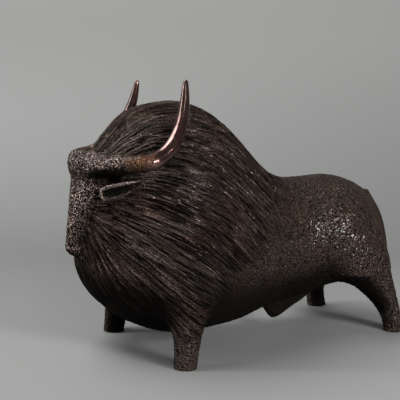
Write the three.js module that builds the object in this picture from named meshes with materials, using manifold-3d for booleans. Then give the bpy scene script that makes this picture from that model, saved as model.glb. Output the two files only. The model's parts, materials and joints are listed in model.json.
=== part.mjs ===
// A cast bronze bull, built as a foundry builds one: thin hollow castings that are joined by sleeves,
// tenons and pins and then chased flush. Millimetres, +Z up. The head looks along -X and the bull's left
// side is -Y. Inside this file x runs from the line between the fore feet, and the last lines move the
// origin under the middle of the whole sculpture.
import * as THREE from "three";
import { mergeVertices } from "three/addons/utils/BufferGeometryUtils.js";
import Module from "manifold-3d";

const wasm = await Module();
wasm.setup();

// Stance
const wheelbase = 344;
const foreTrack = 208;
const hindTrack = 181;
const foreSoleRadius = 14.4;
const hindSoleRadius = 14.6;

// Trunk
const humpHeight = 323;
const backHeight = 216;
const widestHeight = 121;
const chestClearance = 23;
const bellyClearance = 46;
const shoulderBulge = 7;
const waistHalfWidth = 77;
const rumpInset = 15;
const sectionPower = 2.2;
const chestDome = 28;
const rumpDome = 16;

// Head
const browHeight = 250;
const browFront = -82;
const browRadius = 15.2;
const muzzleHeight = 147;
const muzzleHalfWidth = 6;
const muzzleDome = 17;
const noseDepth = 26;
const earLength = 61;
const earBreadth = 21;
const earThickness = 3;
const earRim = 6;
const earSpread = 38.5;
const earDrop = 38.5;
const earStandOff = 1.3;

// Horns
const hornBaseRadius = 10.4;
const hornTipRadius = 3.2;
const hornTipHeight = 350;
const hornTipSpread = 67.5;
const hornBendSpread = 91.5;
const hornStandOff = 0.5;

// Tail and sheath
const tailLength = 100;
const tailWidth = 18;
const sheathWidth = 20;
const sheathLength = 92;
const sheathDepth = 30;
const sheathToHindFeet = 162;

// Castings and their joints
const wall = 5;
const clearance = 0.3;
const neckPlane = -44;
const waistPlane = 176;
const ankleHeight = 36;
const sleeveHalfLength = 18;
const sleeveThickness = 5;
const sleevePinRadius = 2.5;
const spigotRadius = 8;
const spigotLength = 22;
const anklePinRadius = 2;
const tenonRadius = 5.5;
const tenonLength = 18;
const hornPinRadius = 1.8;
const pegRadius = 2.5;
const corePlugRadius = 14;
const corePlugX = 90;

// Sizes of the facets
const headFacet = 8.8;
const bodyFacet = 13.7;
const footFacet = 8.6;
const barSides = 8;

const SIDES = [
  { name: "left", sign: -1 },
  { name: "right", sign: 1 },
];

const far = 2 * wheelbase;
const along = (from, direction, distance) => from.map((v, k) => v + direction[k] * distance);
const mirrored = (point, sign) => [point[0], sign * point[1], point[2]];

// Solids

// The closed solid of a geometry, for cutting and joining.
function solid(geometry) {
  const bare = geometry.index ? geometry.toNonIndexed() : geometry.clone();
  bare.deleteAttribute("normal");
  bare.deleteAttribute("uv");
  const merged = mergeVertices(bare, 1e-4);
  return new wasm.Manifold(
    new wasm.Mesh({
      numProp: 3,
      vertProperties: new Float32Array(merged.attributes.position.array),
      triVerts: new Uint32Array(merged.index.array),
    }),
  );
}

function geometryOf(made) {
  const mesh = made.getMesh();
  const geometry = new THREE.BufferGeometry();
  geometry.setAttribute("position", new THREE.BufferAttribute(mesh.vertProperties, 3));
  geometry.setIndex(new THREE.BufferAttribute(mesh.triVerts, 1));
  geometry.computeVertexNormals();
  return geometry;
}

function box(min, max) {
  const geometry = new THREE.BoxGeometry(max[0] - min[0], max[1] - min[1], max[2] - min[2]);
  geometry.translate((min[0] + max[0]) / 2, (min[1] + max[1]) / 2, (min[2] + max[2]) / 2);
  return solid(geometry);
}

// A round bar between two points.
function bar(from, to, radius) {
  const a = new THREE.Vector3(...from);
  const b = new THREE.Vector3(...to);
  const geometry = new THREE.CylinderGeometry(radius, radius, a.distanceTo(b), barSides);
  const turn = new THREE.Quaternion().setFromUnitVectors(
    new THREE.Vector3(0, 1, 0),
    b.clone().sub(a).normalize(),
  );
  geometry.applyQuaternion(turn);
  geometry.translate(...a.add(b).multiplyScalar(0.5).toArray());
  return solid(geometry);
}

// A solid lofted through closed rings of equally many points, with its two ends filled.
function loft(rings) {
  const count = rings[0].length;
  const points = rings.flat();
  const index = [];
  for (let r = 0; r + 1 < rings.length; r++) {
    for (let i = 0; i < count; i++) {
      const j = (i + 1) % count;
      const [a, b, c, d] = [r * count + i, r * count + j, (r + 1) * count + j, (r + 1) * count + i];
      index.push(a, b, c, a, c, d);
    }
  }
  for (const [start, turn] of [
    [0, false],
    [(rings.length - 1) * count, true],
  ]) {
    const ring = points.slice(start, start + count);
    const middle = ring.reduce((sum, p) => sum.add(p), new THREE.Vector3()).divideScalar(count);
    const centre = points.push(middle) - 1;
    for (let i = 0; i < count; i++) {
      const j = start + ((i + 1) % count);
      index.push(centre, ...(turn ? [start + i, j] : [j, start + i]));
    }
  }
  const geometry = new THREE.BufferGeometry().setFromPoints(points);
  geometry.setIndex(index);
  const made = solid(geometry);
  if (made.volume() > 0) return made;
  for (let i = 0; i < index.length; i += 3) {
    [index[i], index[i + 1]] = [index[i + 1], index[i]];
  }
  geometry.setIndex(index);
  return solid(geometry);
}

// The sculpted form, as a field that is negative inside

// A smooth line through stations of [position, value], running on straight past its ends.
function line(...stations) {
  const last = stations.length - 1;
  const slopes = stations.map((_, i) => {
    const [t0, v0] = stations[Math.max(i - 1, 0)];
    const [t1, v1] = stations[Math.min(i + 1, last)];
    return (v1 - v0) / (t1 - t0);
  });
  return (t) => {
    if (t <= stations[0][0]) return stations[0][1] + slopes[0] * (t - stations[0][0]);
    if (t >= stations[last][0]) return stations[last][1] + slopes[last] * (t - stations[last][0]);
    const i = stations.findIndex((s) => s[0] > t) - 1;
    const [t0, v0] = stations[i];
    const [t1, v1] = stations[i + 1];
    const span = t1 - t0;
    const u = (t - t0) / span;
    return (
      v0 * (1 + 2 * u) * (1 - u) ** 2 +
      v1 * u * u * (3 - 2 * u) +
      slopes[i] * span * u * (1 - u) ** 2 +
      slopes[i + 1] * span * u * u * (u - 1)
    );
  };
}

// Two forms joined with a fillet of about the given size.
function fillet(a, b, size) {
  const near = Math.max(size - Math.abs(a - b), 0) / size;
  return Math.min(a, b) - (near * near * size) / 4;
}

// Rounded section: 0 on the surface for offsets a, b, c that are shares of their half-sizes.
function rounded(a, b, c, power, scale) {
  const reach = Math.abs(a) ** power + Math.abs(b) ** power + Math.abs(c) ** power;
  return (reach ** (1 / power) - 1) * scale;
}

function ellipsoid(x, y, z, centre, radii) {
  const at = [x, y, z].map((v, i) => (v - centre[i]) / radii[i]);
  const k0 = Math.hypot(...at);
  const k1 = Math.hypot(...at.map((v, i) => v / radii[i]));
  return (k0 * (k0 - 1)) / Math.max(k1, 1e-6);
}

// A round limb along points of [x, y, z, radius].
function limb(x, y, z, points) {
  let nearest = Infinity;
  for (let i = 0; i + 1 < points.length; i++) {
    const [ax, ay, az, ar] = points[i];
    const [bx, by, bz, br] = points[i + 1];
    const [dx, dy, dz] = [bx - ax, by - ay, bz - az];
    const along = (x - ax) * dx + (y - ay) * dy + (z - az) * dz;
    const t = THREE.MathUtils.clamp(along / (dx * dx + dy * dy + dz * dz), 0, 1);
    const away = Math.hypot(x - ax - t * dx, y - ay - t * dy, z - az - t * dz);
    nearest = Math.min(nearest, away - ar - t * (br - ar));
  }
  return nearest;
}

const chestFront = -62;
const rumpBack = wheelbase + 12;
const shoulderHalf = foreTrack / 2 + shoulderBulge;
const haunchHalf = hindTrack / 2 - rumpInset;

// The line of the hump and back, the widest line, the underside and the half-width, from head to tail.
const topLine = line(
  [chestFront, humpHeight - 50],
  [-48, humpHeight - 35],
  [-20, humpHeight - 10.5],
  [30, humpHeight],
  [60, humpHeight - 4],
  [90, humpHeight - 18],
  [120, humpHeight - 44],
  [150, backHeight + 33],
  [180, backHeight + 10],
  [210, backHeight],
  [wheelbase - 94, backHeight - 1],
  [wheelbase - 54, backHeight],
  [wheelbase - 24, backHeight - 7.5],
  [wheelbase + 4, backHeight - 20],
  [rumpBack, backHeight - 25],
);
const widestLine = line(
  [chestFront, widestHeight + 5],
  [40, widestHeight],
  [200, widestHeight - 1],
  [wheelbase - 24, widestHeight + 9],
  [rumpBack, widestHeight + 19],
);
const undersideLine = line(
  [chestFront, chestClearance + 43],
  [-40, chestClearance + 24],
  [-15, chestClearance + 11],
  [15, chestClearance + 1],
  [50, chestClearance],
  [90, chestClearance + 1.5],
  [120, chestClearance + 5],
  [150, bellyClearance - 10],
  [180, bellyClearance - 2],
  [230, bellyClearance + 3],
  [wheelbase - 84, bellyClearance + 14],
  [wheelbase - 44, bellyClearance + 34],
  [rumpBack, bellyClearance + 58],
);
const halfWidthLine = line(
  [chestFront, shoulderHalf - 34],
  [-40, shoulderHalf - 18],
  [-10, shoulderHalf - 6],
  [30, shoulderHalf],
  [60, shoulderHalf - 1],
  [100, shoulderHalf - 10],
  [140, waistHalfWidth + 12],
  [180, waistHalfWidth + 3],
  [220, waistHalfWidth],
  [wheelbase - 84, waistHalfWidth + 1],
  [wheelbase - 54, haunchHalf],
  [wheelbase - 34, haunchHalf - 9],
  [wheelbase - 14, haunchHalf - 23],
  [wheelbase + 2, haunchHalf - 40],
  [rumpBack, haunchHalf - 50],
);

function trunk(x, y, z) {
  const s = THREE.MathUtils.clamp(x, chestFront - chestDome, rumpBack + rumpDome);
  const widest = widestLine(s);
  const above = topLine(s) - widest;
  const below = widest - undersideLine(s);
  const halfWidth = halfWidthLine(s);
  const dome = Math.max((chestFront - x) / chestDome, (x - rumpBack) / rumpDome, 0);
  const height = (z - widest) / (z > widest ? above : below);
  return rounded(y / halfWidth, height, dome, sectionPower, Math.min(halfWidth, above, below));
}

const haunch = {
  centre: [wheelbase - 68, hindTrack / 2 - 44, 134],
  radii: [50, 44, 56],
};

// Each leg widens upwards from its round sole, and its top is a dome inside the trunk.
const foreFlare = 0.0024;
const foreLean = 0.125;
const foreLegTop = 90;
const foreLegDome = 70;

function foreLeg(x, y, z) {
  const height = THREE.MathUtils.clamp(z, 0, foreLegTop);
  const flare = foreFlare * height ** 2;
  const radius = foreSoleRadius + flare;
  const dome = Math.max(z - foreLegTop, 0) / foreLegDome;
  const inwards = (y - foreTrack / 2 + flare) / radius;
  return rounded((x - foreLean * height) / radius, inwards, dome, 2, radius);
}

const hindFlare = 0.0098;
const hindRake = 0.34;
const hindSideFlare = 0.0035;
const hindLegTop = 85;
const hindLegDome = 60;
const hindFront = (height) => wheelbase - hindSoleRadius - hindFlare * height ** 2;
const hindBack = (height) => wheelbase + hindSoleRadius - hindRake * height * (1 - height / 150);

function hindLeg(x, y, z) {
  const height = THREE.MathUtils.clamp(z, 0, hindLegTop);
  const [front, back] = [hindFront(height), hindBack(height)];
  const side = hindSideFlare * height ** 2;
  const half = (back - front) / 2;
  const dome = Math.max(z - hindLegTop, 0) / hindLegDome;
  const inwards = (y - hindTrack / 2 + side) / (hindSoleRadius + side);
  return rounded((x - (front + back) / 2) / half, inwards, dome, 2, hindSoleRadius + side);
}

// The nose is a flat wedge that narrows down to the muzzle.
const noseTop = browHeight - 5;
const noseAt = (share) => muzzleHeight + share * (noseTop - muzzleHeight);
const noseHalfWidth = line(
  [muzzleHeight, muzzleHalfWidth],
  [noseAt(0.34), muzzleHalfWidth + 12],
  [noseAt(0.6), muzzleHalfWidth + 23],
  [noseTop, muzzleHalfWidth + 35],
);
const noseFace = line(
  [muzzleHeight, browFront - 30],
  [noseAt(0.34), browFront - 24.5],
  [noseAt(0.6), browFront - 19.5],
  [noseAt(0.75), browFront - 16.5],
  [noseTop, browFront - 14],
);

function nose(x, y, z) {
  const s = THREE.MathUtils.clamp(z, muzzleHeight, noseTop);
  const dome = Math.max((muzzleHeight - z) / muzzleDome, (z - noseTop) / 12, 0);
  const half = noseHalfWidth(s);
  const back = (x - noseFace(s) - noseDepth) / noseDepth;
  return rounded(back, y / half, dome, 2.6, Math.min(noseDepth, half));
}

// The brow is one bar across the head. Each horn grows from its end.
const hornJoint = [browFront + 25, hornBendSpread - 12, browHeight + 0.5];
const browLine = [
  [browFront + 1, 0, browHeight - 6, browRadius + 3],
  [browFront + 2, 20, browHeight - 6, browRadius + 1],
  [browFront + 5.5, 40, browHeight - 5, browRadius - 1.5],
  [browFront + 13.5, 62, browHeight - 1.5, browRadius - 3],
  [...hornJoint, hornBaseRadius],
];

function body(x, side, z) {
  const y = Math.abs(side);
  let form = trunk(x, y, z);
  form = fillet(form, ellipsoid(x, y, z, haunch.centre, haunch.radii), 30);
  form = fillet(form, foreLeg(x, y, z), 28);
  form = fillet(form, hindLeg(x, y, z), 21);
  form = fillet(form, nose(x, y, z), 14);
  form = fillet(form, limb(x, y, z, browLine), 8);
  const eyeHollow = ellipsoid(x, y, z, [browFront, 52, browHeight - 21], [18, 22, 9]);
  return -fillet(-form, eyeHollow, 6);
}

const STEP = 0.25;
function gradient(field, x, y, z) {
  return [
    (field(x + STEP, y, z) - field(x - STEP, y, z)) / (2 * STEP),
    (field(x, y + STEP, z) - field(x, y - STEP, z)) / (2 * STEP),
    (field(x, y, z + STEP) - field(x, y, z - STEP)) / (2 * STEP),
  ];
}

// How far a ray runs before a field changes its sign.
function distanceTo(field, from, direction) {
  const at = (distance) => field(...along(from, direction, distance)) < 0;
  const start = at(0);
  let low = 0;
  while (at(low + 1) === start && low < far) low++;
  let high = low + 1;
  for (let pass = 0; pass < 12; pass++) {
    const middle = (low + high) / 2;
    if (at(middle) === start) low = middle;
    else high = middle;
  }
  return low;
}

// Where two inside corners of a grid's square only meet across its diagonal, the surface would pinch to a
// line there, so the shallower of the two outside corners is filled in.
function fillPinches(value, counts, id) {
  for (let found = true; found; ) {
    found = false;
    for (let axis = 0; axis < 3; axis++) {
      const [u, v] = [(axis + 1) % 3, (axis + 2) % 3];
      const at = [0, 0, 0];
      for (at[axis] = 0; at[axis] < counts[axis]; at[axis]++) {
        for (at[u] = 0; at[u] + 1 < counts[u]; at[u]++) {
          for (at[v] = 0; at[v] + 1 < counts[v]; at[v]++) {
            const square = [0, 1, 3, 2].map((n) => {
              const corner = [...at];
              corner[u] += n & 1;
              corner[v] += n >> 1;
              return id(...corner);
            });
            const inside = square.map((n) => value[n] < 0);
            if (inside[0] !== inside[2] || inside[1] !== inside[3] || inside[0] === inside[1]) continue;
            const outer = square.filter((_, n) => !inside[n]);
            value[value[outer[0]] < value[outer[1]] ? outer[0] : outer[1]] = -1e-3;
            found = true;
          }
        }
      }
    }
  }
}

// The surface where a field is zero, in facets of about the given size. Each cell of a grid that the
// surface crosses holds one corner, drawn onto the surface along its gradient.
function skin(field, min, max, facet) {
  const cells = min.map((low, k) => Math.ceil((max[k] - low) / facet));
  const [nx, ny, nz] = cells.map((n) => n + 1);
  const id = (i, j, k) => (k * ny + j) * nx + i;
  const value = new Float64Array(nx * ny * nz);
  for (let k = 0; k < nz; k++) {
    for (let j = 0; j < ny; j++) {
      for (let i = 0; i < nx; i++) {
        const edge = [i, j, k].some((n, m) => n === 0 || n === cells[m]);
        const depth = field(min[0] + i * facet, min[1] + j * facet, min[2] + k * facet);
        value[id(i, j, k)] = (edge ? Math.max(depth, facet / 4) : depth) || 1e-9;
      }
    }
  }
  fillPinches(value, [nx, ny, nz], id);
  const corners = new Map();
  const points = [];
  const edges = [];
  for (let axis = 0; axis < 3; axis++) {
    for (let n = 0; n < 4; n++) {
      const from = [0, 0, 0];
      from[(axis + 1) % 3] = n & 1;
      from[(axis + 2) % 3] = n >> 1;
      edges.push({ axis, from, to: from.map((v, k) => (k === axis ? 1 : v)) });
    }
  }
  for (let k = 0; k + 1 < nz; k++) {
    for (let j = 0; j + 1 < ny; j++) {
      for (let i = 0; i + 1 < nx; i++) {
        const sum = [0, 0, 0];
        let crossings = 0;
        for (const { axis, from, to } of edges) {
          const a = value[id(i + from[0], j + from[1], k + from[2])];
          const b = value[id(i + to[0], j + to[1], k + to[2])];
          if (a < 0 === b < 0) continue;
          const at = [i + from[0], j + from[1], k + from[2]];
          at[axis] += a / (a - b);
          at.forEach((v, m) => (sum[m] += v));
          crossings++;
        }
        if (!crossings) continue;
        let point = sum.map((v, m) => min[m] + (v / crossings) * facet);
        for (let pass = 0; pass < 3; pass++) {
          const slope = gradient(field, ...point);
          const steep = Math.hypot(...slope);
          if (steep < 1e-3) break;
          const step = THREE.MathUtils.clamp(field(...point) / steep, -facet / 2, facet / 2);
          point = point.map((v, m) => v - (step * slope[m]) / steep);
        }
        const cell = [i, j, k];
        point = point.map((v, m) => {
          const low = min[m] + cell[m] * facet;
          return THREE.MathUtils.clamp(v, low + 0.02 * facet, low + 0.98 * facet);
        });
        corners.set(id(i, j, k), points.push(new THREE.Vector3(...point)) - 1);
      }
    }
  }
  const index = [];
  for (let k = 0; k < nz; k++) {
    for (let j = 0; j < ny; j++) {
      for (let i = 0; i < nx; i++) {
        for (let axis = 0; axis < 3; axis++) {
          const at = [i, j, k];
          const next = at.map((v, m) => (m === axis ? v + 1 : v));
          if (next[axis] > cells[axis]) continue;
          const inside = value[id(...at)] < 0;
          if (inside === value[id(...next)] < 0) continue;
          const quad = [
            [0, 0],
            [-1, 0],
            [-1, -1],
            [0, -1],
          ].map(([du, dv]) => {
            const cell = [...at];
            cell[(axis + 1) % 3] += du;
            cell[(axis + 2) % 3] += dv;
            return corners.get(id(...cell));
          });
          if (!inside) quad.reverse();
          const [a, b, c, d] = quad;
          if (points[a].distanceTo(points[c]) < points[b].distanceTo(points[d])) {
            index.push(a, b, c, a, c, d);
          } else {
            index.push(b, c, d, b, d, a);
          }
        }
      }
    }
  }
  const geometry = new THREE.BufferGeometry().setFromPoints(points);
  geometry.setIndex(index);
  return solid(geometry);
}

const reach = foreTrack / 2 + foreSoleRadius + 12;
const noseTip = browFront - 44;
const rumpEnd = rumpBack + rumpDome + 20;

// A grid that is even about the middle plane, so that both sides get the same facets.
function evenly(facet) {
  return Math.ceil(reach / facet) * facet;
}

const headSkin = skin(
  body,
  [noseTip, -evenly(headFacet), 0],
  [neckPlane + 2 * headFacet, evenly(headFacet), humpHeight + 8],
  headFacet,
);
const bodySkin = skin(
  body,
  [neckPlane - 2 * bodyFacet, -evenly(bodyFacet), -2 * bodyFacet],
  [rumpEnd, evenly(bodyFacet), humpHeight + 8],
  bodyFacet,
);
const slab = (from, to) => box([from, -far, -far], [to, far, far]);

// The core that leaves the castings hollow: sections of the trunk, inset by the wall. The legs, the brow
// and the nose stay solid.
const coreSides = 16;
const shell = (x, y, z) => {
  const slope = Math.hypot(...gradient(trunk, x, y, z));
  return trunk(x, Math.abs(y), z) / Math.max(slope, 0.2) + wall;
};
function coreSection(x, inset) {
  const centre = [x, 0, (topLine(x) + undersideLine(x)) / 2];
  return Array.from({ length: coreSides }, (_, k) => {
    const angle = (2 * Math.PI * (k + 0.5)) / coreSides;
    const out = [0, Math.cos(angle), Math.sin(angle)];
    return new THREE.Vector3(...along(centre, out, distanceTo(shell, centre, out) - inset));
  });
}
const neckStations = [neckPlane - sleeveHalfLength, neckPlane, neckPlane + sleeveHalfLength];
const waistStations = [waistPlane - sleeveHalfLength, waistPlane, waistPlane + sleeveHalfLength];
const coreStations = [
  chestFront - 0.8 * chestDome + wall,
  chestFront - 0.45 * chestDome,
  ...neckStations,
  0,
  35,
  70,
  105,
  140,
  ...waistStations,
  240,
  wheelbase - 70,
  wheelbase - 44,
  wheelbase - 24,
  rumpBack - wall,
];
const cavity = loft(coreStations.map((x) => coreSection(x, 0)));

// Joints

// The largest body of a cut piece.
function largest(made) {
  return made.decompose().sort((a, b) => b.volume() - a.volume())[0];
}

const pieces = [];
const looks = {
  patina: { color: 0x2e2420, roughness: 0.5, metalness: 0.75 },
  polished: { color: 0x6d5640, roughness: 0.22, metalness: 0.95 },
  bare: { color: 0x8a6b48, roughness: 0.45, metalness: 0.9 },
};
const keep = (name, made, look) => pieces.push({ name, made, look });

let head = headSkin.intersect(slab(-far, neckPlane)).subtract(cavity);
let fore = bodySkin.intersect(slab(neckPlane, waistPlane)).subtract(cavity);
let hind = bodySkin.intersect(slab(waistPlane, far)).subtract(cavity);

// A sleeve inside a joint between two castings, with pins that are filed flush outside.
function sleeve(stations) {
  const [from, plane, to] = stations;
  const wallOf = (inset, extra) =>
    loft([coreSection(from - extra, inset), coreSection(plane, inset), coreSection(to + extra, inset)]);
  let ring = wallOf(clearance, 0).subtract(wallOf(clearance + sleeveThickness, 0.5));
  const rows = [
    { x: (from + plane) / 2, angles: [90, 270], outside: plane === neckPlane ? headSkin : bodySkin },
    { x: (plane + to) / 2, angles: [0, 180], outside: bodySkin },
  ];
  const pins = [];
  const holes = [];
  for (const { x, angles, outside } of rows) {
    for (const angle of angles.map(THREE.MathUtils.degToRad)) {
      const out = [0, Math.cos(angle), Math.sin(angle)];
      const centre = [x, 0, (topLine(x) + undersideLine(x)) / 2];
      const inner = distanceTo(shell, centre, out);
      const ends = [inner - sleeveThickness - 2, inner + 4 * wall].map((d) => along(centre, out, d));
      pins.push(bar(...ends, sleevePinRadius).intersect(outside));
      holes.push(bar(...ends, sleevePinRadius + clearance));
    }
  }
  holes.forEach((hole) => (ring = ring.subtract(hole)));
  return { ring, pins, holes };
}

for (const [joint, stations] of [
  ["neck", neckStations],
  ["waist", waistStations],
]) {
  const { ring, pins, holes } = sleeve(stations);
  keep(`${joint}_sleeve`, ring, "bare");
  pins.forEach((pin, i) => keep(`${joint}_pin_${i + 1}`, pin, "bare"));
  for (const hole of holes) {
    head = head.subtract(hole);
    fore = fore.subtract(hole);
    hind = hind.subtract(hole);
  }
}

// The lower legs, with a round spigot up into the casting and a pin across it.
const ankles = {
  fore: {
    x: foreLean * ankleHeight,
    y: foreTrack / 2 - foreFlare * ankleHeight ** 2,
    footX: 0,
    track: foreTrack,
  },
  hind: {
    x: (hindFront(ankleHeight) + hindBack(ankleHeight)) / 2,
    y: hindTrack / 2 - hindSideFlare * ankleHeight ** 2,
    footX: wheelbase,
    track: hindTrack,
  },
};
function cutEnd(end, tool) {
  if (end === "fore") fore = fore.subtract(tool);
  else hind = hind.subtract(tool);
}
for (const [end, { x, y, footX, track }] of Object.entries(ankles)) {
  const low = [footX - 36, track / 2 - 33, -2 * footFacet];
  const high = [footX + 36, track / 2 + 33, ankleHeight + 2 * footFacet];
  const shank = skin(body, low, high, footFacet).intersect(
    box([-far, -far, 0], [far, far, ankleHeight]),
  );
  for (const { name, sign } of SIDES) {
    const at = (z, dx = 0) => [x + dx, sign * y, z];
    const top = ankleHeight + spigotLength;
    const pinHeight = ankleHeight + spigotLength / 2;
    const pin = [at(pinHeight, -60), at(pinHeight, 60)];
    const spigot = bar(at(ankleHeight / 2), at(top), spigotRadius);
    const placed = sign > 0 ? shank : shank.mirror([0, 1, 0]);
    keep(
      `${name}_${end}_leg`,
      placed.add(spigot).subtract(bar(...pin, anklePinRadius + clearance)),
      "patina",
    );
    keep(`${name}_${end}_leg_pin`, largest(bar(...pin, anklePinRadius).intersect(bodySkin)), "bare");
    const inner = mirrored([footX - 50, track / 2 - 33, -far], sign);
    const outer = mirrored([footX + 50, far, ankleHeight], sign);
    cutEnd(
      end,
      box(
        inner.map((v, k) => Math.min(v, outer[k])),
        inner.map((v, k) => Math.max(v, outer[k])),
      ),
    );
    cutEnd(end, bar(at(ankleHeight - 1), at(top + 1), spigotRadius + clearance));
    cutEnd(end, bar(...pin, anklePinRadius + clearance));
  }
}

// The horns, each with a tenon into the brow. They bend out at least far enough to pass the shoulder.
const besideTrunk = (x, y, z) => {
  const slope = Math.hypot(...gradient(trunk, x, y, z));
  return trunk(x, y, z) / Math.max(slope, 0.2) - hornBaseRadius - hornStandOff;
};
const hornSpread = (x, spread, z) => {
  if (besideTrunk(x, 0, z) >= 0) return spread;
  return Math.max(spread, distanceTo(besideTrunk, [x, 0, z], [0, 1, 0]));
};
const hornCurve = new THREE.CatmullRomCurve3(
  [
    hornJoint,
    [browFront + 32, hornBendSpread - 4.5, browHeight + 1],
    [browFront + 44, hornBendSpread + 0.5, browHeight + 2.5],
    [browFront + 59, hornBendSpread - 1.5, browHeight + 9],
    [browFront + 75, hornBendSpread - 5, browHeight + 22],
    [browFront + 90, hornBendSpread - 12, (browHeight + hornTipHeight) / 2 - 5],
    [browFront + 99, hornTipSpread + 5, hornTipHeight - 30],
    [browFront + 103.5, hornTipSpread, hornTipHeight - hornTipRadius],
  ].map(([x, y, z]) => new THREE.Vector3(x, hornSpread(x, y, z), z)),
  false,
  "centripetal",
);
const hornRadius = (t) => hornTipRadius + (hornBaseRadius - hornTipRadius) * (1 - t * t) ** 0.8;

function horn(sign) {
  const steps = 13;
  const sides = 10;
  const frames = hornCurve.computeFrenetFrames(steps, false);
  const ring = (centre, i, radius) =>
    Array.from({ length: sides }, (_, k) => {
      const angle = (2 * Math.PI * k) / sides;
      const point = centre
        .clone()
        .addScaledVector(frames.normals[i], radius * Math.cos(angle))
        .addScaledVector(frames.binormals[i], radius * Math.sin(angle));
      point.y *= sign;
      return point;
    });
  const rings = [];
  for (let i = 0; i <= steps; i++) {
    const shift = i === 0 ? clearance : 0;
    const centre = hornCurve.getPointAt(i / steps).addScaledVector(frames.tangents[i], shift);
    rings.push(ring(centre, i, hornRadius(i / steps)));
  }
  const end = hornCurve.getPointAt(1);
  for (const [forward, share] of [
    [0.6, 0.8],
    [0.95, 0.3],
  ]) {
    const centre = end.clone().addScaledVector(frames.tangents[steps], forward * hornTipRadius);
    rings.push(ring(centre, steps, share * hornTipRadius));
  }
  return loft(rings);
}

for (const { name, sign } of SIDES) {
  const out = mirrored(hornCurve.getTangentAt(0).toArray(), sign);
  const joint = mirrored(hornJoint, sign);
  const tenonEnd = along(joint, out, -tenonLength);
  head = head.subtract(bar(joint, along(joint, out, 40), 1.5 * hornBaseRadius));
  head = head.subtract(bar(along(joint, out, 1), along(tenonEnd, out, -1), tenonRadius + clearance));
  const through = along(joint, out, -tenonLength / 2);
  const pin = [along(through, [0, 0, 1], 20), along(through, [0, 0, -1], 20)];
  const hole = bar(...pin, hornPinRadius + clearance);
  head = head.subtract(hole);
  keep(
    `${name}_horn`,
    horn(sign).add(bar(along(joint, out, 2), tenonEnd, tenonRadius)).subtract(hole),
    "polished",
  );
  keep(`${name}_horn_pin`, largest(bar(...pin, hornPinRadius).intersect(headSkin)), "bare");
}

// The ears: cupped leaves that stand off the cheeks on a stem with a peg. The upper rim is a thick roll
// that hooks round the root, and the lower edge is bellied.
const earDirection = new THREE.Vector3(0.55, 0.786, 0.3).normalize();
const earOpening = new THREE.Vector3(-earDirection.y, earDirection.x, 0).normalize();
const earUp = new THREE.Vector3().crossVectors(earDirection, earOpening).normalize();
// The stem stands at this share of the ear's length. From outside it is brought in to its stand-off from
// the cheek, wherever the head's sizes put the cheek.
const earStemShare = 0.3;
const earOver = [browFront, earSpread, browHeight - earDrop];
const stemOver = along(earOver, earDirection.toArray(), earStemShare * earLength);
const stemOutside = along(stemOver, earOpening.toArray(), earLength);
const toCheek = distanceTo(body, stemOutside, earOpening.toArray().map((v) => -v));
const earRoot = along(earOver, earOpening.toArray(), earLength - toCheek + earStandOff);
const earUpper = line([0, 5], [0.2, 0.33 * earBreadth], [0.4, 0.33 * earBreadth], [0.7, 5], [1, 2]);
const earLower = line([0, 6], [0.15, 0.45 * earBreadth], [0.45, 0.6 * earBreadth], [0.8, 7.5], [1, 1.4]);
const earCurl = line([0, 0.9], [0.3, 1.25], [1, 0.6]);
// Thickness from the lower edge to the upper rim, at the root and beyond it
const earFold = [0.8, 1, 1, 1, earRim / earThickness, 0.75 * (earRim / earThickness)];
const earRootFold = [1.4, 1.8, 1.8, 1.8, earRim / earThickness, 0.75 * (earRim / earThickness)];

function ear(sign) {
  const steps = 8;
  const sides = earFold.length;
  const rings = [];
  for (let i = 0; i <= steps; i++) {
    const t = i / steps;
    const curl = earCurl(t);
    const radius = (earUpper(t) + earLower(t)) / 2 / Math.sin(Math.min(curl, Math.PI / 2));
    const axis = new THREE.Vector3(...earRoot)
      .addScaledVector(earDirection, t * earLength)
      .addScaledVector(earUp, (earUpper(t) - earLower(t)) / 2);
    const half = (earThickness * (1 - 0.45 * t)) / 2;
    const fold = i === 0 ? earRootFold : earFold;
    const point = (k, side) => {
      const angle = curl * ((2 * k) / (sides - 1) - 1);
      const r = radius + side * fold[k] * half;
      const at = axis
        .clone()
        .addScaledVector(earOpening, radius - r * Math.cos(angle))
        .addScaledVector(earUp, r * Math.sin(angle));
      at.y *= sign;
      return at;
    };
    const across = earFold.map((_, k) => k);
    rings.push([...across.map((k) => point(k, 1)), ...across.toReversed().map((k) => point(k, -1))]);
  }
  return loft(rings);
}

for (const { name, sign } of SIDES) {
  const inwards = mirrored(earOpening.toArray(), sign).map((v) => -v);
  const foot = mirrored(along(earRoot, earDirection.toArray(), earStemShare * earLength), sign);
  const gap = distanceTo(body, foot, inwards);
  const cheek = headSkin.translate(inwards.map((v) => -clearance * v));
  const stem = bar(foot, along(foot, inwards, gap + wall), 2 * pegRadius);
  const peg = [foot, along(foot, inwards, gap + wall + 2)];
  const grown = largest(ear(sign).add(stem).subtract(cheek));
  keep(`${name}_ear`, grown.add(bar(...peg, pegRadius)), "patina");
  head = head.subtract(bar(...peg, pegRadius + clearance));
}

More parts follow.
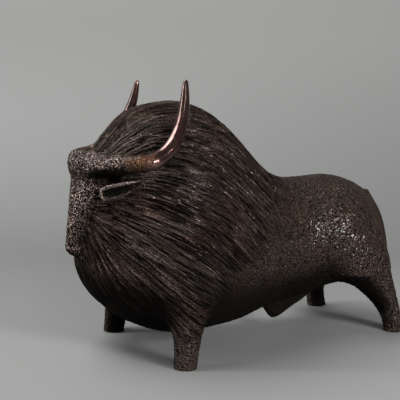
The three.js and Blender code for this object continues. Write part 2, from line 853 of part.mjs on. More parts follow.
// The tail: a crescent on the rump with a square root, held by two pegs.
const tailEdge = (...points) =>
  new THREE.CatmullRomCurve3(
    points.map(([x, z]) => new THREE.Vector3(wheelbase + x * tailLength, 0, backHeight - z * tailLength)),
  );
const tailOuter = tailEdge(
  [0.19, 0.25],
  [0.285, 0.38],
  [0.41, 0.545],
  [0.5, 0.715],
  [0.555, 0.885],
  [0.595, 1.04],
  [0.615, 1.21],
);
const tailInner = tailEdge(
  [0.06, 0.26],
  [0.16, 0.4],
  [0.21, 0.58],
  [0.23, 0.74],
  [0.28, 0.9],
  [0.4, 1.06],
  [0.55, 1.22],
);
function tail() {
  const steps = 9;
  const sides = 8;
  const rings = [];
  for (let i = 0; i <= steps; i++) {
    const [outer, inner] = [tailOuter.getPoint(i / steps), tailInner.getPoint(i / steps)];
    const middle = outer.clone().add(inner).divideScalar(2);
    const reachOut = outer.sub(inner).divideScalar(2);
    const half = (tailWidth / 2) * (1 - 0.45 * (i / steps) ** 2);
    const squared = (v) => Math.sign(v) * Math.abs(v) ** 0.6;
    rings.push(
      Array.from({ length: sides }, (_, k) => {
        const angle = (2 * Math.PI * (k + 0.5)) / sides;
        const point = middle.clone().addScaledVector(reachOut, squared(Math.cos(angle)));
        point.y += half * squared(Math.sin(angle));
        return point;
      }),
    );
  }
  return loft(rings);
}
const rumpSurface = (z) => rumpBack - 20 + distanceTo(body, [rumpBack - 20, 0, z], [1, 0, 0]);
let tailMade = largest(tail().subtract(bodySkin.translate([clearance, 0, 0])));
for (const z of [backHeight - 0.35 * tailLength, backHeight - 0.56 * tailLength]) {
  const peg = [
    [rumpSurface(z) + 6, 0, z],
    [rumpSurface(z) - wall - 2, 0, z],
  ];
  tailMade = tailMade.add(bar(...peg, pegRadius));
  hind = hind.subtract(bar(...peg, pegRadius + clearance));
}
keep("tail", tailMade, "patina");

// The sheath: a keel under the belly with a blunt, steep front end.
const sheathFront = wheelbase - sheathToHindFeet;
const sheathAt = (share) => sheathFront + share * sheathLength;
const sheathTip = bellyClearance - sheathDepth;
const sheathUnderside = line(
  [sheathFront, sheathTip + 0.583 * sheathDepth],
  [sheathAt(0.076), sheathTip + 0.267 * sheathDepth],
  [sheathAt(0.152), sheathTip],
  [sheathAt(0.25), sheathTip + 0.017 * sheathDepth],
  [sheathAt(0.348), sheathTip + 0.15 * sheathDepth],
  [sheathAt(0.609), sheathTip + 0.583 * sheathDepth],
  [sheathAt(0.826), sheathTip + 0.867 * sheathDepth],
  [sheathAt(1.043), sheathTip + 1.667 * sheathDepth],
);
const sheathHalf = line(
  [sheathFront, 0.25 * sheathWidth],
  [sheathAt(0.13), 0.46 * sheathWidth],
  [sheathAt(0.489), sheathWidth / 2],
  [sheathAt(1.043), 0.3 * sheathWidth],
);
function sheath() {
  const sides = 10;
  return loft(
    [0, 0.054, 0.109, 0.163, 0.239, 0.326, 0.5, 0.696, 0.848, 1].map((share) => {
      const x = sheathAt(share);
      const low = sheathUnderside(x);
      const half = (undersideLine(x) + 2 * wall - low) / 2;
      return Array.from({ length: sides }, (_, k) => {
        const angle = (2 * Math.PI * k) / sides;
        const z = low + half + half * Math.sin(angle);
        return new THREE.Vector3(x, sheathHalf(x) * Math.cos(angle), z);
      });
    }),
  );
}
const sheathPegX = sheathAt(0.39);
const bellySurface = 100 - distanceTo(body, [sheathPegX, 0, 100], [0, 0, -1]);
const sheathPeg = [
  [sheathPegX, 0, bellySurface - 6],
  [sheathPegX, 0, bellySurface + wall + 2],
];
keep(
  "sheath",
  largest(sheath().subtract(bodySkin.translate([0, 0, -clearance]))).add(bar(...sheathPeg, pegRadius)),
  "patina",
);
hind = hind.subtract(bar(...sheathPeg, pegRadius + clearance));

// The plug of the hole where the core was held and shaken out.
const plugAxis = [
  [corePlugX, 0, 0],
  [corePlugX, 0, 80],
];
keep("core_plug", bar(...plugAxis, corePlugRadius).intersect(bodySkin).subtract(cavity), "patina");
fore = fore.subtract(bar(...plugAxis, corePlugRadius + clearance));

keep("head_casting", head, "patina");
keep("fore_casting", fore, "patina");
keep("hind_casting", hind, "patina");

// The sculpture, with its origin under the middle of its box.
const bull = new THREE.Group();
bull.name = "bull";
for (const { name, made, look } of pieces) {
  const material = new THREE.MeshStandardMaterial(looks[look]);
  const mesh = new THREE.Mesh(geometryOf(made), material);
  mesh.name = name;
  bull.add(mesh);
}
const bounds = new THREE.Box3().setFromObject(bull);
bull.position.x = -(bounds.min.x + bounds.max.x) / 2;
export default bull;
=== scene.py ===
"""The finish of a cast bronze bull: one chased and combed skin over the castings, polished horns, cupped
ears, the tail and the sheath, and the studio in which the sculpture stands."""

import json
import math

import bpy
import numpy as np
from bpy.props import FloatProperty, FloatVectorProperty, PointerProperty
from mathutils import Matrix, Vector


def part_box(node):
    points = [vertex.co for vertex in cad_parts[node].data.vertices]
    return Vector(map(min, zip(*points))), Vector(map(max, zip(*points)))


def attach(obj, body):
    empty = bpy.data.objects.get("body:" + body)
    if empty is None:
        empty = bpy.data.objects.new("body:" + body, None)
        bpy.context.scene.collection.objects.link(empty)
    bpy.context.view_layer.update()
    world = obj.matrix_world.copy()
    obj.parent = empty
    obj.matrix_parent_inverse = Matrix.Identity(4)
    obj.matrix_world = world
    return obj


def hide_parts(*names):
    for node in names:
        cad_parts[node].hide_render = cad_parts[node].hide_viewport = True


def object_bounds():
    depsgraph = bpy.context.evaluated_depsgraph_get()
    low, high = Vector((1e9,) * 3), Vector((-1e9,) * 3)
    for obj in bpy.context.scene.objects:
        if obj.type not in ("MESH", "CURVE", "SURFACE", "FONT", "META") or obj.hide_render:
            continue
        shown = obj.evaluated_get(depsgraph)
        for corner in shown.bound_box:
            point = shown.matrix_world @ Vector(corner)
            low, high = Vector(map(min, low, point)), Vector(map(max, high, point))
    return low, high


bl_info = {
    "name": "Cast bronze bull",
    "version": (1, 0, 0),
    "blender": (4, 5, 0),
    "location": "3D View > Sidebar > Bull",
    "description": "Models and finishes the surfaces of a cast bronze bull",
    "category": "Object",
}

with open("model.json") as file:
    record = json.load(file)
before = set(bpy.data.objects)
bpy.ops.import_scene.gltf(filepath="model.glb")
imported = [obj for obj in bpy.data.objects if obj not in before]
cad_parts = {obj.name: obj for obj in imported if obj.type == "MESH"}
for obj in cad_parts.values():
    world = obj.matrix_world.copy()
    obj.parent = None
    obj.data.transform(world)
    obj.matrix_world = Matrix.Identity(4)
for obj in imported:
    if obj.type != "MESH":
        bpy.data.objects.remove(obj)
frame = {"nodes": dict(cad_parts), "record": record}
cad_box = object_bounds()
nodes = frame["nodes"]
mounts = {m["name"]: Vector(m["pos_m"]) for m in frame["record"]["mounts"]}

SIDES = (("left", -1), ("right", 1))
MOST_TRIANGLES = 190000
COARSE_VOXEL = 0.004
TRIM_VOXEL = 0.0009
SHARP_ANGLE = math.radians(65)

# Sizes of the sculpted form in millimetres, the same as the castings have, with x from the line between the
# fore feet. Only the planes where the castings meet are in metres, and are places in the frame.

MM = 1000
FORE_FEET = mounts["left_fore_sole"].x
WHEELBASE = MM * (mounts["left_hind_sole"].x - FORE_FEET)
FORE_TRACK = MM * 2 * mounts["right_fore_sole"].y
HIND_TRACK = MM * 2 * mounts["right_hind_sole"].y
NECK_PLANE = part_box("fore_casting")[0].x
WAIST_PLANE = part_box("hind_casting")[0].x
ANKLE_HEIGHT = 36

FORE_SOLE_RADIUS = 14.4
HIND_SOLE_RADIUS = 14.6
FORE_FLARE = 0.0024
FORE_LEAN = 0.125
FORE_LEG_TOP = 90
FORE_LEG_DOME = 70
HIND_FLARE = 0.0098
HIND_RAKE = 0.34
HIND_SIDE_FLARE = 0.0035
HIND_LEG_TOP = 85
HIND_LEG_DOME = 60
HUMP_HEIGHT = 323
BACK_HEIGHT = 216
CHEST_CLEARANCE = 23
BELLY_CLEARANCE = 46
SHOULDER_HALF = FORE_TRACK / 2 + 7
WAIST_HALF = 77
HAUNCH_HALF = HIND_TRACK / 2 - 15
SECTION_POWER = 2.2
CHEST_FRONT = -62
CHEST_DOME = 28
RUMP_BACK = WHEELBASE + 12
RUMP_DOME = 16
BROW_HEIGHT = 250
BROW_FRONT = -82
BROW_RADIUS = 15.2
MUZZLE_HEIGHT = 147
MUZZLE_HALF_WIDTH = 6
MUZZLE_DOME = 17
NOSE_DEPTH = 26
NOSE_TOP = BROW_HEIGHT - 5
HORN_BEND_SPREAD = 91.5
HORN_TIP_HEIGHT = 350
HORN_TIP_SPREAD = 67.5
HORN_BASE_RADIUS = 10.4
HORN_TIP_RADIUS = 3.2
HORN_JOINT = (BROW_FRONT + 25, HORN_BEND_SPREAD - 12, BROW_HEIGHT + 0.5)


class Line:
    """A smooth line through stations of position and value, running on straight past its ends."""

    def __init__(self, *stations):
        self.at, self.value = np.array(stations, float).T
        before = np.maximum(np.arange(len(self.at)) - 1, 0)
        after = np.minimum(before + 2, len(self.at) - 1)
        after[0] = 1
        self.slope = (self.value[after] - self.value[before]) / (self.at[after] - self.at[before])

    def __call__(self, t):
        low, high = self.at[0], self.at[-1]
        s = np.clip(t, low, high)
        i = np.clip(np.searchsorted(self.at, s, side="right") - 1, 0, len(self.at) - 2)
        span = self.at[i + 1] - self.at[i]
        u = (s - self.at[i]) / span
        inner = (
            self.value[i] * (1 + 2 * u) * (1 - u) ** 2
            + self.value[i + 1] * u * u * (3 - 2 * u)
            + self.slope[i] * span * u * (1 - u) ** 2
            + self.slope[i + 1] * span * u * u * (u - 1)
        )
        return inner + self.slope[0] * np.minimum(t - low, 0) + self.slope[-1] * np.maximum(t - high, 0)


TOP_LINE = Line(
    (CHEST_FRONT, HUMP_HEIGHT - 50),
    (-48, HUMP_HEIGHT - 35),
    (-20, HUMP_HEIGHT - 10.5),
    (30, HUMP_HEIGHT),
    (60, HUMP_HEIGHT - 4),
    (90, HUMP_HEIGHT - 18),
    (120, HUMP_HEIGHT - 44),
    (150, BACK_HEIGHT + 33),
    (180, BACK_HEIGHT + 10),
    (210, BACK_HEIGHT),
    (WHEELBASE - 94, BACK_HEIGHT - 1),
    (WHEELBASE - 54, BACK_HEIGHT),
    (WHEELBASE - 24, BACK_HEIGHT - 7.5),
    (WHEELBASE + 4, BACK_HEIGHT - 20),
    (RUMP_BACK, BACK_HEIGHT - 25),
)
WIDEST_LINE = Line((CHEST_FRONT, 126), (40, 121), (200, 120), (WHEELBASE - 24, 130), (RUMP_BACK, 140))
UNDERSIDE_LINE = Line(
    (CHEST_FRONT, CHEST_CLEARANCE + 43),
    (-40, CHEST_CLEARANCE + 24),
    (-15, CHEST_CLEARANCE + 11),
    (15, CHEST_CLEARANCE + 1),
    (50, CHEST_CLEARANCE),
    (90, CHEST_CLEARANCE + 1.5),
    (120, CHEST_CLEARANCE + 5),
    (150, BELLY_CLEARANCE - 10),
    (180, BELLY_CLEARANCE - 2),
    (230, BELLY_CLEARANCE + 3),
    (WHEELBASE - 84, BELLY_CLEARANCE + 14),
    (WHEELBASE - 44, BELLY_CLEARANCE + 34),
    (RUMP_BACK, BELLY_CLEARANCE + 58),
)
HALF_WIDTH_LINE = Line(
    (CHEST_FRONT, SHOULDER_HALF - 34),
    (-40, SHOULDER_HALF - 18),
    (-10, SHOULDER_HALF - 6),
    (30, SHOULDER_HALF),
    (60, SHOULDER_HALF - 1),
    (100, SHOULDER_HALF - 10),
    (140, WAIST_HALF + 12),
    (180, WAIST_HALF + 3),
    (220, WAIST_HALF),
    (WHEELBASE - 84, WAIST_HALF + 1),
    (WHEELBASE - 54, HAUNCH_HALF),
    (WHEELBASE - 34, HAUNCH_HALF - 9),
    (WHEELBASE - 14, HAUNCH_HALF - 23),
    (WHEELBASE + 2, HAUNCH_HALF - 40),
    (RUMP_BACK, HAUNCH_HALF - 50),
)
NOSE_LENGTH = NOSE_TOP - MUZZLE_HEIGHT
NOSE_HALF_WIDTH = Line(
    (MUZZLE_HEIGHT, MUZZLE_HALF_WIDTH),
    (MUZZLE_HEIGHT + 0.34 * NOSE_LENGTH, MUZZLE_HALF_WIDTH + 12),
    (MUZZLE_HEIGHT + 0.6 * NOSE_LENGTH, MUZZLE_HALF_WIDTH + 23),
    (NOSE_TOP, MUZZLE_HALF_WIDTH + 35),
)
NOSE_FACE = Line(
    (MUZZLE_HEIGHT, BROW_FRONT - 30),
    (MUZZLE_HEIGHT + 0.34 * NOSE_LENGTH, BROW_FRONT - 24.5),
    (MUZZLE_HEIGHT + 0.6 * NOSE_LENGTH, BROW_FRONT - 19.5),
    (MUZZLE_HEIGHT + 0.75 * NOSE_LENGTH, BROW_FRONT - 16.5),
    (NOSE_TOP, BROW_FRONT - 14),
)
BROW_LINE = (
    (BROW_FRONT + 1, 0, BROW_HEIGHT - 6, BROW_RADIUS + 3),
    (BROW_FRONT + 2, 20, BROW_HEIGHT - 6, BROW_RADIUS + 1),
    (BROW_FRONT + 5.5, 40, BROW_HEIGHT - 5, BROW_RADIUS - 1.5),
    (BROW_FRONT + 13.5, 62, BROW_HEIGHT - 1.5, BROW_RADIUS - 3),
    (*HORN_JOINT, HORN_BASE_RADIUS),
)
# An ear is a cupped leaf whose upper rim is a thick roll. At a share of its length it stands off the cheek.
EAR_LENGTH = 61
EAR_BREADTH = 21
EAR_THICKNESS = 3
EAR_RIM = 6
EAR_SPREAD = 38.5
EAR_DROP = 38.5
EAR_STEM_SHARE = 0.3
EAR_STAND_OFF = 1.3
EAR_OVER = (BROW_FRONT, EAR_SPREAD, BROW_HEIGHT - EAR_DROP)
EAR_DIRECTION = np.array((0.55, 0.786, 0.3)) / math.hypot(0.55, 0.786, 0.3)
EAR_OPENING = np.array((-0.786, 0.55, 0)) / math.hypot(0.786, 0.55)
# From root to tip: how far the upper and the lower edge are from the middle line, and half the cup's angle
EAR_UPPER = Line((0, 5), (0.2, 0.33 * EAR_BREADTH), (0.4, 0.33 * EAR_BREADTH), (0.7, 5), (1, 2))
EAR_LOWER = Line((0, 6), (0.15, 0.45 * EAR_BREADTH), (0.45, 0.6 * EAR_BREADTH), (0.8, 7.5), (1, 1.4))
EAR_CURL = Line((0, 0.9), (0.3, 1.25), (1, 0.6))
HORN_STATIONS = (
    HORN_JOINT,
    (BROW_FRONT + 32, HORN_BEND_SPREAD - 4.5, BROW_HEIGHT + 1),
    (BROW_FRONT + 44, HORN_BEND_SPREAD + 0.5, BROW_HEIGHT + 2.5),
    (BROW_FRONT + 59, HORN_BEND_SPREAD - 1.5, BROW_HEIGHT + 9),
    (BROW_FRONT + 75, HORN_BEND_SPREAD - 5, BROW_HEIGHT + 22),
    (BROW_FRONT + 90, HORN_BEND_SPREAD - 12, (BROW_HEIGHT + HORN_TIP_HEIGHT) / 2 - 5),
    (BROW_FRONT + 99, HORN_TIP_SPREAD + 5, HORN_TIP_HEIGHT - 30),
    (BROW_FRONT + 103.5, HORN_TIP_SPREAD, HORN_TIP_HEIGHT - HORN_TIP_RADIUS),
)
# The comb marks run in the planes through an axis that starts before the brow and dips towards the tail
COMB_START = (BROW_FRONT - 78, 0, BROW_HEIGHT - 10)
COMB_DIP = math.radians(35)
COMB_AXIS = (math.cos(COMB_DIP), 0, -math.sin(COMB_DIP))
EYE_HOLLOW = (BROW_FRONT, 52, BROW_HEIGHT - 21)
EYE_RADII = np.array((18, 22, 9))
# The border on the flank, as height over x, between the combed coat and the stippled hindquarters
COAT_BORDER = Line((50, 80), (95, 124), (150, 168), (185, 208), (210, 262))
# The border of the smooth band beside the tail, as x over height
BAND_BORDER = Line((99, WHEELBASE + 21), (120, WHEELBASE + 11), (149, WHEELBASE + 5), (183, WHEELBASE + 3))


# The sculpted form, as fields that are negative inside


def fillet(a, b, size):
    """Two forms joined with a fillet of about the given size."""
    near = np.maximum(size - np.abs(a - b), 0) / size
    return np.minimum(a, b) - near * near * size / 4


def rounded(a, b, c, power, scale):
    """A rounded section: zero where a, b and c, as shares of its half-sizes, reach its skin."""
    reach = np.abs(a) ** power + np.abs(b) ** power + np.abs(c) ** power
    return (reach ** (1 / power) - 1) * scale


def ellipsoid(p, centre, radii):
    """About the distance to an ellipsoid."""
    at = (p - centre) / radii
    k0 = np.linalg.norm(at, axis=1)
    k1 = np.linalg.norm(at / radii, axis=1)
    return k0 * (k0 - 1) / np.maximum(k1, 1e-6)


def limb(p, points):
    """A round limb along points of x, y, z and radius."""
    nearest = np.full(len(p), np.inf)
    for a, b in zip(np.array(points[:-1], float), np.array(points[1:], float)):
        run = (b - a)[:3]
        t = np.clip((p - a[:3]) @ run / (run @ run), 0, 1)
        away = np.linalg.norm(p - a[:3] - t[:, None] * run, axis=1)
        nearest = np.minimum(nearest, away - a[3] - t * (b[3] - a[3]))
    return nearest


def trunk(x, y, z):
    """Hump, chest, barrel and rump: rounded sections between the top line and the underside."""
    s = np.clip(x, CHEST_FRONT - CHEST_DOME, RUMP_BACK + RUMP_DOME)
    widest = WIDEST_LINE(s)
    above = TOP_LINE(s) - widest
    below = widest - UNDERSIDE_LINE(s)
    half = HALF_WIDTH_LINE(s)
    dome = np.maximum(np.maximum((CHEST_FRONT - x) / CHEST_DOME, (x - RUMP_BACK) / RUMP_DOME), 0)
    height = (z - widest) / np.where(z > widest, above, below)
    return rounded(y / half, height, dome, SECTION_POWER, np.minimum(np.minimum(half, above), below))


def fore_leg(x, y, z):
    """A leg that widens upwards from its round sole, with a dome inside the trunk."""
    height = np.clip(z, 0, FORE_LEG_TOP)
    flare = FORE_FLARE * height**2
    radius = FORE_SOLE_RADIUS + flare
    dome = np.maximum(z - FORE_LEG_TOP, 0) / FORE_LEG_DOME
    ahead = (x - FORE_LEAN * height) / radius
    return rounded(ahead, (y - FORE_TRACK / 2 + flare) / radius, dome, 2, radius)


def hind_leg(x, y, z):
    """A leg with a raked back and a thigh that widens forwards."""
    height = np.clip(z, 0, HIND_LEG_TOP)
    front = WHEELBASE - HIND_SOLE_RADIUS - HIND_FLARE * height**2
    back = WHEELBASE + HIND_SOLE_RADIUS - HIND_RAKE * height * (1 - height / 150)
    side = HIND_SIDE_FLARE * height**2
    dome = np.maximum(z - HIND_LEG_TOP, 0) / HIND_LEG_DOME
    ahead = (x - (front + back) / 2) / ((back - front) / 2)
    inwards = (y - HIND_TRACK / 2 + side) / (HIND_SOLE_RADIUS + side)
    return rounded(ahead, inwards, dome, 2, HIND_SOLE_RADIUS + side)


def nose(x, y, z):
    """The flat wedge of the face, which narrows down to the muzzle."""
    s = np.clip(z, MUZZLE_HEIGHT, NOSE_TOP)
    dome = np.maximum(np.maximum((MUZZLE_HEIGHT - z) / MUZZLE_DOME, (z - NOSE_TOP) / 12), 0)
    half = NOSE_HALF_WIDTH(s)
    back = (x - NOSE_FACE(s) - NOSE_DEPTH) / NOSE_DEPTH
    return rounded(back, y / half, dome, 2.6, np.minimum(NOSE_DEPTH, half))


def body(p):
    """The whole form but its horns, ears, tail and sheath, at points in millimetres."""
    x, y, z = p[:, 0], np.abs(p[:, 1]), p[:, 2]
    q = np.stack([x, y, z], 1)
    form = trunk(x, y, z)
    haunch = ellipsoid(q, (WHEELBASE - 68, HIND_TRACK / 2 - 44, 134), np.array((50, 44, 56)))
    form = fillet(form, haunch, 30)
    form = fillet(form, fore_leg(x, y, z), 28)
    form = fillet(form, hind_leg(x, y, z), 21)
    form = fillet(form, nose(x, y, z), 14)
    form = fillet(form, limb(q, BROW_LINE), 8)
    return -fillet(-form, ellipsoid(q, EYE_HOLLOW, EYE_RADII), 6)


def gradient(field, p, step=0.25):
    """The slope of a field along each axis."""
    slopes = []
    for axis in range(3):
        offset = np.zeros(3)
        offset[axis] = step
        slopes.append((field(p + offset) - field(p - offset)) / (2 * step))
    return np.stack(slopes, 1)


def drawn_onto(field, p, passes, reach):
    """Points drawn along the field's slope onto the surface where it is zero, and the normals there."""
    for _ in range(passes):
        slope = gradient(field, p)
        steep = np.maximum(np.linalg.norm(slope, axis=1), 0.2)
        step = np.clip(field(p) / steep, -reach, reach)
        p = p - (step / steep)[:, None] * slope
    slope = gradient(field, p)
    return p, slope / np.linalg.norm(slope, axis=1)[:, None]


# The sculptor's marks, from a cube of random numbers that repeats in every direction

rng = np.random.default_rng(7)
CUBE = 64
FINE_STIPPLE = 2.1
LATTICE = rng.uniform(-1, 1, (CUBE, CUBE, CUBE)).astype(np.float32)


def grain(p, size):
    """Smooth random lumps of about one size, between -1 and 1."""
    at = (p / size).T
    cell = np.floor(at).astype(np.int32)
    u = at - cell
    u = u * u * (3 - 2 * u)
    (i, j, k), (di, dj, dk) = cell % CUBE, (cell + 1) % CUBE
    below, above = (
        LATTICE[i, j, layer] * (1 - u[0]) * (1 - u[1])
        + LATTICE[di, j, layer] * u[0] * (1 - u[1])
        + LATTICE[i, dj, layer] * (1 - u[0]) * u[1]
        + LATTICE[di, dj, layer] * u[0] * u[1]
        for layer in (k, dk)
    )
    return below * (1 - u[2]) + above * u[2]


def smooth(low, high, value):
    """A smooth step from 0 at low to 1 at high, which may also be the smaller of the two."""
    t = np.clip((value - low) / (high - low), 0, 1)
    return t * t * (3 - 2 * t)


def stippled(p, size):
    """Punched lumps of one size, with finer ones between."""
    lumps = grain(p, size) + 0.5 * grain(p + 31, size / 1.8)
    return lumps / lumps.std()


def polishing(p):
    """How golden and how polished the bronze is, from the brow's end out along the horn."""
    x, y, z = p.T
    beside = smooth(40, 62, np.abs(y)) * smooth(-22, -8, z - BROW_HEIGHT)
    golden = beside * smooth(BROW_FRONT + 4, BROW_FRONT + 30, x) * (1 - smooth(-42, -26, x))
    return golden, beside * smooth(BROW_FRONT + 24, BROW_FRONT + 54, x)


def ear_frame():
    """The root and the upward direction of the right ear, with its stem at its stand-off from the cheek."""
    stem = EAR_OVER + EAR_STEM_SHARE * EAR_LENGTH * EAR_DIRECTION
    reach = np.arange(EAR_LENGTH, -EAR_LENGTH, -0.05)
    cheek = reach[np.argmax(body(stem + reach[:, None] * EAR_OPENING) < 0)]
    return EAR_OVER + (cheek + EAR_STAND_OFF) * EAR_OPENING, np.cross(EAR_DIRECTION, EAR_OPENING)


def sheltered(p, normal):
    """Painted shade: how dark the colour is painted where shade falls, under the belly, on the inner sides
    of the legs, low on the trunk between the legs, in the eye hollows and on the cheek behind the cup of the
    ear."""
    x, y, z = p[:, 0], np.abs(p[:, 1]), p[:, 2]
    q = np.stack([x, y, z], 1)
    under = smooth(0.2, -0.5, normal[:, 2]) * smooth(20, 34, z)
    inner = smooth(0, 0.6, -normal[:, 1] * np.sign(p[:, 1])) * smooth(110, 80, z)
    low = 0.95 * smooth(140, 75, z) * smooth(2, 14, np.minimum(fore_leg(x, y, z), hind_leg(x, y, z)))
    eye = smooth(6, -1, ellipsoid(q, EYE_HOLLOW, EYE_RADII))
    root, up = ear_frame()
    t = (q - root) @ EAR_DIRECTION / EAR_LENGTH
    across = (q - root) @ up
    cup = smooth(0, 0.1, t) * smooth(1, 0.85, t) * smooth(12, 6, np.abs((q - root) @ EAR_OPENING))
    cup *= smooth(1, -1, across - EAR_UPPER(t)) * smooth(-0.6, -0.3, across / EAR_LOWER(np.clip(t, 0, 1)))
    return np.max([under, inner, low, eye, cup], axis=0)


def horn_line():
    """The middle line of the right horn and the radius at each of its points, in the curve that the casting
    has, sunk into the brow at one end and rounded off at the other."""
    stations = np.array(HORN_STATIONS, float)
    ends = np.array([2 * stations[0] - stations[1], 2 * stations[-1] - stations[-2]])
    knots = np.vstack([ends[:1], stations, ends[1:]])
    points = []
    for a, b, c, d in zip(knots[:-3], knots[1:-2], knots[2:-1], knots[3:]):
        gaps = [np.linalg.norm(v) ** 0.5 for v in (b - a, c - b, d - c)]
        start = gaps[1] * ((b - a) / gaps[0] - (c - a) / (gaps[0] + gaps[1]) + (c - b) / gaps[1])
        end = gaps[1] * ((c - b) / gaps[1] - (d - b) / (gaps[1] + gaps[2]) + (d - c) / gaps[2])
        for u in np.linspace(0, 1, 16, endpoint=False):
            rise = u * u * (3 - 2 * u)
            points.append(b + rise * (c - b) + u * (1 - u) ** 2 * start + u * u * (u - 1) * end)
    points = np.array([*points, stations[-1]])
    run = np.concatenate([[0], np.cumsum(np.linalg.norm(np.diff(points, axis=0), axis=1))])
    radii = HORN_TIP_RADIUS + (HORN_BASE_RADIUS - HORN_TIP_RADIUS) * (1 - (run / run[-1]) ** 2) ** 0.8
    inwards = (points[0] - points[1]) / np.linalg.norm(points[0] - points[1])
    outwards = (points[-1] - points[-2]) / np.linalg.norm(points[-1] - points[-2])
    turns = np.radians([20, 40, 58, 74, 86])
    tip = [points[-1] + 0.98 * HORN_TIP_RADIUS * math.sin(turn) * outwards for turn in turns]
    sunk = [points[0] + depth * inwards for depth in (8, 4)]
    radii = [HORN_BASE_RADIUS - 0.6, HORN_BASE_RADIUS, *radii, *(HORN_TIP_RADIUS * np.cos(turns))]
    return np.array([*sunk, *points, *tip]), np.array(radii)


def combed(p, normal, size, length, steps):
    """Random lumps drawn out into strokes that run over the surface in planes through the comb's axis."""
    run = np.cross(normal, np.cross(COMB_AXIS, p - COMB_START))
    run /= np.maximum(np.linalg.norm(run, axis=1), 1)[:, None]
    total = np.zeros(len(p))
    for s in np.linspace(-0.5, 0.5, steps):
        total += grain(p + s * length * run, size)
    return total / total.std()


# Blender helpers


def deselect():
    if bpy.context.object and bpy.context.object.mode != "OBJECT":
        bpy.ops.object.mode_set(mode="OBJECT")
    bpy.ops.object.select_all(action="DESELECT")


def pick(*objects):
    """Selects these objects alone, with the last one active."""
    deselect()
    for o in objects:
        o.select_set(True)
    bpy.context.view_layer.objects.active = objects[-1]


def copy_of(name, *sources):
    """One merged copy of CAD nodes or pieces, as a new object."""
    made = []
    for source in sources:
        o = source.copy()
        o.data = source.data.copy()
        o.parent = None
        for key in list(o.keys()):
            if key.startswith("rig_"):
                del o[key]
        o.hide_render = o.hide_viewport = False
        bpy.context.scene.collection.objects.link(o)
        made.append(o)
    pick(*made)
    if len(made) > 1:
        bpy.ops.object.join()
    o = bpy.context.object
    o.name = o.data.name = name
    o.data.materials.clear()
    bpy.ops.object.mode_set(mode="EDIT")
    bpy.ops.mesh.select_all(action="SELECT")
    bpy.ops.mesh.remove_doubles(threshold=1e-5)
    bpy.ops.object.mode_set(mode="OBJECT")
    return o


def apply(o, kind, **settings):
    """Adds a modifier with its settings and applies it."""
    modifier = o.modifiers.new(kind.title(), kind)
    for key, value in settings.items():
        setattr(modifier, key, value)
    pick(o)
    bpy.ops.object.modifier_apply(modifier=modifier.name)


def corners(o):
    co = np.empty(3 * len(o.data.vertices), np.float32)
    o.data.vertices.foreach_get("co", co)
    return co.reshape(-1, 3).astype(float)


def set_corners(o, co):
    o.data.vertices.foreach_set("co", co.astype(np.float32).ravel())
    o.data.update()


def facing(o):
    """The way that each corner's normal points."""
    normals = np.empty(3 * len(o.data.vertices), np.float32)
    o.data.vertex_normals.foreach_get("vector", normals)
    return normals.reshape(-1, 3)


def to_form(co):
    """Places in the frame as points of the sculpted form."""
    return (co - (FORE_FEET, 0, 0)) * MM


def from_form(p):
    """Points of the sculpted form as places in the frame."""
    return p / MM + (FORE_FEET, 0, 0)


def remember(o, **values):
    """Numbers at each corner, which the finish reads."""
    for name, at_corners in values.items():
        attribute = o.data.attributes.new(name, "FLOAT", "POINT")
        attribute.data.foreach_set("value", at_corners.astype(np.float32))


def within_cad(co, margin=1e-5):
    """Corners held inside the box of the CAD model."""
    return np.clip(co, np.array(cad_box[0]) + margin, np.array(cad_box[1]) - margin)


def choose_faces(o, chosen):
    """Selects the faces whose middle passes a test, and opens edit mode on them."""
    pick(o)
    middles = np.empty(3 * len(o.data.polygons), np.float32)
    o.data.polygons.foreach_get("center", middles)
    o.data.vertices.foreach_set("select", np.zeros(len(o.data.vertices), bool))
    o.data.edges.foreach_set("select", np.zeros(len(o.data.edges), bool))
    o.data.polygons.foreach_set("select", chosen(*to_form(middles.reshape(-1, 3).astype(float)).T))
    bpy.ops.object.mode_set(mode="EDIT")
    bpy.ops.mesh.select_mode(type="FACE")


def sawn(o, plane, axis, near=None):
    """Cuts a ring of edges round a piece where a plane crosses it."""
    choose_faces(o, near or (lambda x, y, z: np.full(len(x), True)))
    at, normal = [0, 0, 0], [0, 0, 0]
    at[axis], normal[axis] = plane, 1
    bpy.ops.mesh.bisect(plane_co=at, plane_no=normal)
    bpy.ops.object.mode_set(mode="OBJECT")


def parted(o, name, chosen):
    """Takes the chosen faces out of a piece as a piece of their own, and closes it."""
    choose_faces(o, chosen)
    bpy.ops.mesh.separate(type="SELECTED")
    bpy.ops.object.mode_set(mode="OBJECT")
    piece = next(p for p in bpy.context.selected_objects if p != o)
    piece.name = piece.data.name = name
    return closed(piece)


def closed(o):
    """Fills the openings of a piece with flat caps."""
    pick(o)
    bpy.ops.object.mode_set(mode="EDIT")
    bpy.ops.mesh.select_mode(type="EDGE")
    bpy.ops.mesh.select_all(action="DESELECT")
    bpy.ops.mesh.select_non_manifold(extend=False)
    bpy.ops.mesh.fill(use_beauty=False)
    bpy.ops.mesh.select_all(action="SELECT")
    bpy.ops.mesh.normals_make_consistent(inside=False)
    bpy.ops.object.mode_set(mode="OBJECT")
    return o


def thinned(o, most):
    """Fewer faces, where a piece has more triangles than it may."""
    o.data.calc_loop_triangles()
    count = len(o.data.loop_triangles)
    if count > most:
        apply(o, "DECIMATE", ratio=most / count)
    return o


def finished(o, slot, *replaced):
    """Gives a piece its finish, hangs it under the root body and hides the CAD nodes it replaces."""
    set_corners(o, within_cad(corners(o)))
    o.data.materials.clear()
    o.data.materials.append(bpy.data.materials[f"{slot}_bronze"])
    pick(o)
    bpy.ops.object.shade_smooth_by_angle(angle=SHARP_ANGLE)
    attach(o, "root")
    if replaced:
        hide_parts(*replaced)


# Materials


